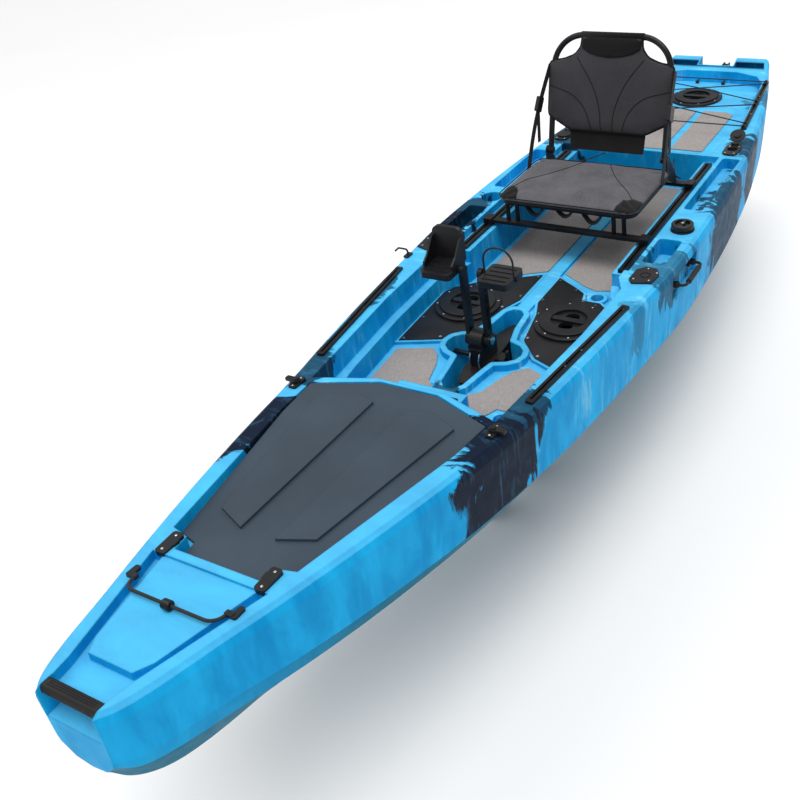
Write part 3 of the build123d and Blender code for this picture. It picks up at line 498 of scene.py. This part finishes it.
def inflate(obj, voxel, pressure, frames, pinned):
    """Puffs a closed fabric skin with the cloth solver and keeps the result."""
    remesh = obj.modifiers.new("remesh", "REMESH")
    remesh.mode = "VOXEL"
    remesh.voxel_size = voxel
    apply_all(obj)
    for face in obj.data.polygons:
        face.use_smooth = True
    group = obj.vertex_groups.new(name="pin")
    for v in obj.data.vertices:
        if pinned(v.co):
            group.add([v.index], 1.0, "REPLACE")
    cloth = obj.modifiers.new("cloth", "CLOTH")
    cloth.settings.quality = 6
    cloth.settings.mass = 0.25
    cloth.settings.tension_stiffness = 25
    cloth.settings.compression_stiffness = 25
    cloth.settings.shear_stiffness = 8
    cloth.settings.bending_stiffness = 2.0
    cloth.settings.use_pressure = True
    cloth.settings.uniform_pressure_force = pressure
    cloth.settings.effector_weights.gravity = 0
    cloth.settings.vertex_group_mass = "pin"
    cloth.point_cache.frame_start = 1
    cloth.point_cache.frame_end = frames
    before = [v.co.copy() for v in obj.data.vertices]
    for frame_number in range(1, frames + 1):
        scene.frame_set(frame_number)
    apply_all(obj)
    for v, start in zip(obj.data.vertices, before):
        move = v.co - start
        if move.length > LARGEST_SWELL:
            v.co = start + move * (LARGEST_SWELL / move.length)
    scene.frame_set(1)


def soften(obj, times):
    """Evens out the wrinkles that the remesh leaves."""
    smooth = obj.modifiers.new("smooth", "SMOOTH")
    smooth.iterations = times
    smooth.factor = 0.5
    apply_all(obj)
    for face in obj.data.polygons:
        face.use_smooth = True


def lay_on(obj, points, start_dir, rise):
    """Drops points onto an object's surface along a direction, lifted by rise."""
    tree = BVHTree.FromObject(obj, bpy.context.evaluated_depsgraph_get())
    out = []
    for p in points:
        spot = tree.ray_cast(Vector(p) - start_dir * 0.2, start_dir)
        if spot[0] is not None:
            out.append(spot[0] - start_dir * rise)
    return out


# ------------------------------------------------------------------ seat

SEAT_HALF = 0.262
CUSHION_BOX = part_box("seat_cushion")
CUSHION_LOW = CUSHION_BOX[0][2]
CUSHION_HIGH = CUSHION_BOX[1][2]
SEAT_FRONT = CUSHION_BOX[0][1]
SEAT_BACK = CUSHION_BOX[1][1]
BACK_HALF = 0.228
PIVOT = Vector((0, 0.576, 0.423))
LEAN = math.radians(14.0)


def on_back(u, v, w):
    """Point on the backrest: u across, v up the lean, w forward."""
    up = Vector((0, math.sin(LEAN), math.cos(LEAN)))
    ahead = Vector((0, -math.cos(LEAN), math.sin(LEAN)))
    return PIVOT + Vector((u, 0, 0)) + up * v + ahead * w


def rounded(points, radius, steps=5):
    """Rounds the corners of a closed (u, v) outline."""
    out = []
    count = len(points)
    for i in range(count):
        p = Vector(points[i])
        a = Vector(points[i - 1]) - p
        b = Vector(points[(i + 1) % count]) - p
        r = min(radius, a.length * 0.45, b.length * 0.45)
        start, stop = p + a.normalized() * r, p + b.normalized() * r
        for n in range(steps + 1):
            t = n / steps
            q = start * (1 - t) ** 2 + p * (2 * t * (1 - t)) + stop * t**2
            out.append((q.x, q.y))
    return out


def seat_cushion():
    """Puffed seat pad with two sewn seams, front corner patches and piping."""
    edge = SEAT_HALF + 0.006
    front, back = SEAT_FRONT - 0.004, SEAT_BACK - 0.006
    outline = rounded([(-edge, front), (edge, front), (edge, back), (-edge, back)], 0.05)
    body = prism("seat_pad", outline, CUSHION_LOW + 0.001, CUSHION_HIGH - 0.004, "seat_fabric")
    low = CUSHION_LOW + 0.004
    inflate(body, 0.006, 3.2, 20, lambda co: co.z < low)
    soften(body, 4)
    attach(body, "seat")
    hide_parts("seat_cushion")
    down = Vector((0, 0, -1))
    for side in (1, -1):
        corners = [(side * 0.235, front + 0.07, 1), (side * 0.13, front + 0.19, 1)]
        corners += [(side * 0.06, front + 0.30, 1), (side * 0.045, back - 0.02, 1)]
        path = [Vector((p.x, p.y, 0.40)) for p in curve_points(corners, 60)]
        stitches = lay_on(body, path, down, 0.0006)
        seam = tube_along("seat_seam_" + side_name(side), stitches, 0.0013, "strap", 6)
        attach(seam, "seat")
        corner = [(side * (edge - 0.001), front + 0.001)]
        for n in range(13):
            turn = math.pi / 2 * n / 12
            inward = edge - 0.002 - 0.078 * math.cos(turn)
            corner.append((side * inward, front + 0.002 + 0.088 * math.sin(turn)))
        patch_on(body, "corner_patch_" + side_name(side), corner, "strap", "seat", down)
    rim = [Vector((u, v, CUSHION_LOW + 0.013)) for u, v in outline]
    piping = tube_along("seat_piping", rim, 0.0022, "strap", 6, closed=True)
    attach(piping, "seat")


def patch_on(body, name, outline, slot, ride, toward, rise=0.0012, grid=0.006):
    """Thin piece of cloth cut to an outline and laid on a surface."""
    mesh = bpy.data.meshes.new(name)
    bm = bmesh.new()
    face = bm.faces.new([bm.verts.new((u, v, 0)) for u, v in outline])
    bmesh.ops.triangulate(bm, faces=[face])
    for _ in range(3):
        long_edges = [e for e in bm.edges if e.calc_length() > grid * 2]
        if not long_edges:
            break
        bmesh.ops.subdivide_edges(bm, edges=long_edges, cuts=1)
        bmesh.ops.triangulate(bm, faces=bm.faces)
    bm.to_mesh(mesh)
    bm.free()
    obj = bpy.data.objects.new(name, mesh)
    scene.collection.objects.link(obj)
    tree = BVHTree.FromObject(body, bpy.context.evaluated_depsgraph_get())
    put = on_back if ride == "backrest" else (lambda u, v, w: Vector((u, v, 0.40 + w)))
    for v in mesh.vertices:
        p = put(v.co.x, v.co.y, 0.0)
        spot = tree.ray_cast(p - toward * 0.2, toward)
        if spot[0] is None:
            spot = tree.find_nearest(p)
        v.co = spot[0] - toward * rise
    solid = obj.modifiers.new("thick", "SOLIDIFY")
    solid.thickness = 0.0016
    solid.offset = 0
    apply_all(obj)
    obj.data.materials.clear()
    obj.data.materials.append(MATS[slot])
    for face in obj.data.polygons:
        face.use_smooth = True
    fix_normals(obj)
    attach(obj, ride)


def backrest():
    """Fabric panel sewn round the hoop's uprights, with a black top and lower band."""
    half = BACK_HALF + 0.0135
    side = [(0.150, 0.086), (half - 0.004, 0.132), (half, 0.150), (half, 0.330), (half - 0.020, 0.337)]
    side += [(0.185, 0.343), (0.142, 0.360), (0.120, 0.388), (0.116, 0.428)]
    panel = rounded(side + [(-u, v) for u, v in reversed(side)], 0.012)
    body = prism("back_pad", panel, -0.0125, 0.0125, "seat_fabric", on_back)
    back_face = Vector((0, -math.cos(LEAN), math.sin(LEAN)))
    inflate(body, 0.006, 1.4, 12, lambda co: (co - PIVOT).dot(back_face) < -0.006)
    soften(body, 3)
    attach(body, "backrest")
    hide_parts("back_panel")
    toward = -back_face
    inner = [(0.022, 0.090), (0.030, 0.170), (0.065, 0.260), (0.130, 0.352)]
    outer = [(0.060, 0.090), (0.085, 0.160), (0.140, 0.215), (0.236, 0.246)]
    for side in (1, -1):
        for number, corners in enumerate((inner, outer)):
            path = curve_points([(side * u, v, 0) for u, v in corners], 50)
            spots = lay_on(body, [on_back(p.x, p.y, 0) for p in path], toward, 0.0006)
            name = "back_seam_%d_%s" % (number, side_name(side))
            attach(tube_along(name, spots, 0.0014, "strap", 6), "backrest")
    dip = [(-0.114, 0.386), (-0.085, 0.368), (-0.045, 0.358), (0.0, 0.354)]
    dip += [(-u, v) for u, v in reversed(dip[:-1])]
    top = [(0.117, 0.424), (-0.117, 0.424)] + dip
    patch_on(body, "back_top_patch", top, "strap", "backrest", toward, 0.0016)
    wrap = []
    for n in range(20):
        turn = math.pi * n / 10.0
        wrap.append((0.430 + 0.0134 * math.cos(turn), 0.0134 * math.sin(turn)))
    verts, faces = [], []
    for u in (-0.120, 0.120):
        for v, w in wrap:
            verts.append(on_back(u, v, w))
    for n in range(20):
        m = (n + 1) % 20
        faces.append([n, m, 20 + m, 20 + n])
    sleeve = new_object("back_top_sleeve", verts, faces, "strap")
    thick = sleeve.modifiers.new("thick", "SOLIDIFY")
    thick.thickness = 0.0016
    apply_all(sleeve)
    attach(sleeve, "backrest")
    band = rounded([(-0.146, 0.012), (0.146, 0.012), (0.150, 0.092), (-0.150, 0.092)], 0.008)
    lower = prism("back_lower_band", band, -0.003, 0.0015, "strap", on_back)
    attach(lower, "backrest")
    edge = [on_back(u, v, 0.006) for u, v in panel]
    piping = tube_along("back_piping", edge, 0.0040, "strap", 6, closed=True)
    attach(piping, "backrest")


def flat_strap(name, points, half_width, half_thick, across):
    """Webbing along points, lying flat to the given direction."""
    verts, faces = [], []
    count = len(points)
    for i, p in enumerate(points):
        along = (points[min(i + 1, count - 1)] - points[max(i - 1, 0)]).normalized()
        out = across.normalized()
        flat = along.cross(out).normalized()
        for a, b in ((-1, -1), (1, -1), (1, 1), (-1, 1)):
            verts.append(p + flat * (half_width * a) + out * (half_thick * b))
    for n in range(count - 1):
        for k in range(4):
            m = (k + 1) % 4
            faces.append([4 * n + k, 4 * n + m, 4 * n + 4 + m, 4 * n + 4 + k])
    faces.append([0, 1, 2, 3])
    faces.append([4 * count - 4 + k for k in (3, 2, 1, 0)])
    strap = new_object(name, verts, faces, "strap", False)
    fix_normals(strap)
    return strap


def side_straps():
    """Adjusting straps from the hoop down to the seat frame, and the slings under the seat."""
    for side in (1, -1):
        name = side_name(side)
        out = Vector((side, 0, 0))
        low = Vector((side * (SEAT_HALF + 0.004), 0.448, CUSHION_LOW - 0.004))
        high = on_back(side * (BACK_HALF + 0.0165), 0.318, 0.0)
        points = []
        for n in range(41):
            p = low.lerp(high, n / 40)
            p.y -= 0.022 * math.sin(math.pi * n / 40)
            p.x += side * 0.004 * math.sin(math.pi * n / 40)
            points.append(p)
        strap = flat_strap("side_strap_" + name, points, 0.014, 0.0014, out)
        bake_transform(strap)
        if side > 0:
            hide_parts("back_straps")
        middle = points[26]
        along = (high - low).normalized()
        flat = along.cross(out).normalized()
        box = rounded([(-0.020, -0.028), (0.020, -0.028), (0.020, 0.028), (-0.020, 0.028)], 0.006)

        def place(u, v, w):
            return middle + flat * u + along * v + out * w

        buckle = prism("buckle_" + name, box, -0.004, 0.009, "black_plastic", place)
        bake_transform(buckle)
        top = middle + out * 0.004
        tail = [top + Vector((0, -0.006 - 0.001 * n, -0.012 * n)) for n in range(13)]
        loose = flat_strap("strap_tail_" + name, tail, 0.011, 0.0012, out)
        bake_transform(loose)
    slings = ((-0.150, -0.085, 0.040), (-0.030, 0.030, 0.030), (0.070, 0.140, 0.042))
    for number, (u0, u1, drop) in enumerate(slings):
        points = []
        for n in range(21):
            t = n / 20
            sag = math.sin(math.pi * t) ** 0.7
            depth = CUSHION_LOW - 0.008 - drop * sag
            points.append(Vector((u0 + (u1 - u0) * t, SEAT_FRONT + 0.012, depth)))
        facing = Vector((0, -0.3, 1))
        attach(flat_strap("seat_sling_%d" % number, points, 0.009, 0.0014, facing), "seat")


# ------------------------------------------------------------------ small fittings

def at(station, offset, height):
    """Metres from a station, an offset and a height in millimetres."""
    return Vector((offset / 1000.0, (station - 2100.0) / 1000.0, height / 1000.0))


SCREW_SIDES = 14
SCREW_LIFT = 0.0014


def screws(name, spots, radius, body):
    """Domed screw heads with a drive recess, joined into one piece."""
    bm = bmesh.new()
    for number, spot in enumerate(spots):
        rings = ((1.0, 0.0), (1.0, 0.35), (0.86, 0.78), (0.5, 1.0))
        turn0 = 0.7 * number
        loops = []
        for share, high in rings:
            loop = []
            for n in range(SCREW_SIDES):
                turn = 2 * math.pi * n / SCREW_SIDES + turn0
                across = Vector((math.cos(turn), math.sin(turn), 0)) * (radius * share)
                loop.append(bm.verts.new(spot + across + Vector((0, 0, SCREW_LIFT * high))))
            loops.append(loop)
        for low, high in zip(loops, loops[1:]):
            for n in range(SCREW_SIDES):
                m = (n + 1) % SCREW_SIDES
                bm.faces.new((low[n], low[m], high[m], high[n]))
        dip = bm.verts.new(spot + Vector((0, 0, SCREW_LIFT * 0.4)))
        for n in range(SCREW_SIDES):
            bm.faces.new((loops[-1][n], loops[-1][(n + 1) % SCREW_SIDES], dip))
        bm.faces.new(loops[0][::-1])
    mesh = bpy.data.meshes.new(name)
    bm.to_mesh(mesh)
    bm.free()
    obj = bpy.data.objects.new(name, mesh)
    scene.collection.objects.link(obj)
    mesh.materials.append(MATS["steel"])
    for face in mesh.polygons:
        face.use_smooth = True
    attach(obj, body)


def ring_spots(station, offset, height, radius, count, start):
    """Evenly spaced places round a circle on the deck, first one at the start angle."""
    out = []
    for n in range(count):
        turn = math.radians(start + 360.0 * n / count)
        out.append(at(station + radius * math.sin(turn), offset + radius * math.cos(turn), height))
    return out


def sheer(station):
    """Gunwale height in millimetres, rising towards the bow."""
    flat_height, bow_rise, rise_length = 310.0, 90.0, 1150.0
    return flat_height + max(0.0, rise_length - station) * bow_rise / rise_length


# Deck eyes behind the seat, in millimetres.
EYE_STATION = 3063
EYE_OFFSET = 130


def all_screws():
    """Screws of the hatches, plates, latches, hinges, rod holders and drive locks."""
    spots = []
    for side in (1, -1):
        spots += ring_spots(1882, side * 189, 189.2, 106, 8, 22.5)
        for s in (1290, 1470, 1560, 1812):
            share = (s - 1276) / 550.0
            spots.append(at(s, side * (349 + 61 * share), 314.2))
        for s in (1108, 1148):
            spots.append(at(s, side * 321, 321.0))
        for s in (412, 458):
            spots.append(at(s, side * 146, sheer(441) + 8))
        for s, x in ((1990, 370), (2066, 392), (2046, 428), (1994, 420)):
            spots.append(at(s, side * x, 317.0))
        for s, x in ((3044, 344), (3044, 380), (3112, 380), (3112, 344)):
            spots.append(at(s, side * x, 317.0))
        for s in (3340, 3480, 3700, 3856):
            share = (s - 3305) / 578.0
            spots.append(at(s, side * (342 - 59 * share), 314.2))
    spots += ring_spots(3748, 0, 279.2, 106, 8, 22.5)
    spots += [at(1296, x, 240.2) for x in (-92, -60, 60, 92)]
    screws("deck_screws", spots, 0.0036, "hull_body")
    screws("knob_screw", [at(2373, 401, 336.4)], 0.0048, "knob")
    bolts = [at(EYE_STATION, side * EYE_OFFSET, 291.2) for side in (1, -1)]
    screws("eye_screws", bolts, 0.003, "hull_body")


def tie_downs():
    """Cords from the deck eyes to the back of the seat frame."""
    for side in (1, -1):
        name = side_name(side)
        a, b = at(EYE_STATION, side * EYE_OFFSET, 281), at(2772, side * 236, 318)
        points = []
        for n in range(25):
            t = n / 24
            p = a.lerp(b, t)
            p.z -= 0.010 * math.sin(math.pi * t)
            points.append(p)
        cord = tube_along("seat_tie_" + name, points, 0.0025, "cord")
        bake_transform(cord)
        bends = [(0, 0, 0), (side * 0.012, -0.004, 0.004), (side * 0.024, -0.010, 0.0)]
        spots = [b + Vector(bend) for bend in bends]
        hook = tube_along("seat_tie_hook_" + name, spots, 0.0032, "black_plastic")
        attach(hook, "seat")
        loop = []
        for n in range(16):
            t = 2 * math.pi * n / 16
            loop.append(a + Vector((0.0066 * math.cos(t), 0.0066 * math.sin(t), 0)))
        knot = tube_along("seat_tie_loop_" + name, loop, 0.0024, "cord", closed=True)
        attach(knot, "hull_body")


def drive_trim():
    """Two fin cables down the front of the drive tower."""
    for side in (1, -1):
        cable = []
        for n in range(30):
            t = n / 29.0
            cable.append(at(1592 - 14 * math.sin(math.pi * t), side * 16, 205 - 66 * t))
        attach(tube_along("drive_cable_" + side_name(side), cable, 0.0028, "steel"), "hull_body")


all_screws()
tie_downs()
drive_trim()
seat_cushion()
backrest()
side_straps()
camera()
stage()
